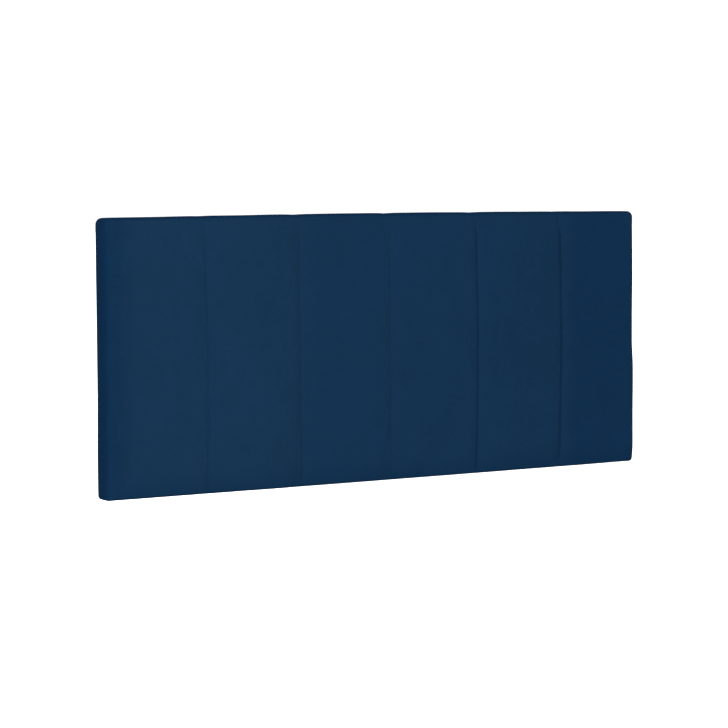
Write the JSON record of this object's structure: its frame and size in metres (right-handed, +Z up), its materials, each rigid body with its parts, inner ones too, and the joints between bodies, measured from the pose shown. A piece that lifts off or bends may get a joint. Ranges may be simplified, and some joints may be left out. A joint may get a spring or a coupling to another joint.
{
  "type": "padded wall panel",
  "caption": "Low wide wall-hung padded panel with vertical sewn channels in navy suede-like fabric, on a timber frame that hooks onto a split batten.",
  "frame": {"origin": "centre of the wall batten's back face, on the wall plane", "axes": "+X along the panel's width, from its left to its right as seen from the room; +Y into the wall; +Z up"},
  "size_m": [1.4, 0.1133, 0.6],
  "materials": {
    "cover_suede": "navy blue suede-like upholstery fabric, short soft nap, matt with a faint sheen",
    "foam": "open-cell upholstery foam, matt",
    "dust_cover": "black spun-bonded non-woven cloth, matt",
    "hardboard": "tempered hardboard, satin on the face",
    "frame_timber": "planed softwood, unfinished",
    "batten_plywood": "sawn birch-faced plywood, unfinished",
    "felt": "pressed grey-brown felt, matt",
    "zinc_steel": "zinc-plated steel, slightly dull",
    "nylon": "grey moulded nylon, matt"
  },
  "bodies": {
    "wall_mount": {"wall_batten": "batten_plywood", "wall_plug_1": "nylon", "wall_plug_2": "nylon", "wall_plug_3": "nylon", "wall_plug_4": "nylon", "wall_screw_1": "zinc_steel", "wall_screw_2": "zinc_steel", "wall_screw_3": "zinc_steel", "wall_screw_4": "zinc_steel"},
    "panel": {"frame_top_rail": "frame_timber", "frame_bottom_rail": "frame_timber", "frame_left_stile": "frame_timber", "frame_right_stile": "frame_timber", "frame_slat_1": "frame_timber", "frame_slat_2": "frame_timber", "frame_slat_3": "frame_timber", "frame_slat_4": "frame_timber", "frame_slat_5": "frame_timber", "corner_block_bottom_left": "frame_timber", "corner_block_bottom_right": "frame_timber", "corner_block_top_right": "frame_timber", "corner_block_top_left": "frame_timber", "face_board": "hardboard", "foam_channel_1": "foam", "foam_channel_2": "foam", "foam_channel_3": "foam", "foam_channel_4": "foam", "foam_channel_5": "foam", "foam_channel_6": "foam", "cover": "cover_suede", "dust_cover": "dust_cover", "panel_batten": "batten_plywood", "spacer_left": "batten_plywood", "felt_pad_left": "felt", "spacer_screw_left": "zinc_steel", "spacer_right": "batten_plywood", "felt_pad_right": "felt", "spacer_screw_right": "zinc_steel", "batten_screw_1": "zinc_steel", "batten_screw_2": "zinc_steel", "batten_screw_3": "zinc_steel", "batten_screw_4": "zinc_steel", "batten_screw_5": "zinc_steel"}
  },
  "joints": [
    {"name": "panel_lift", "type": "slide", "parent": "wall_mount", "child": "panel", "axis": [0, 0, 1], "range_m": [0, 0.03]}
  ]
}
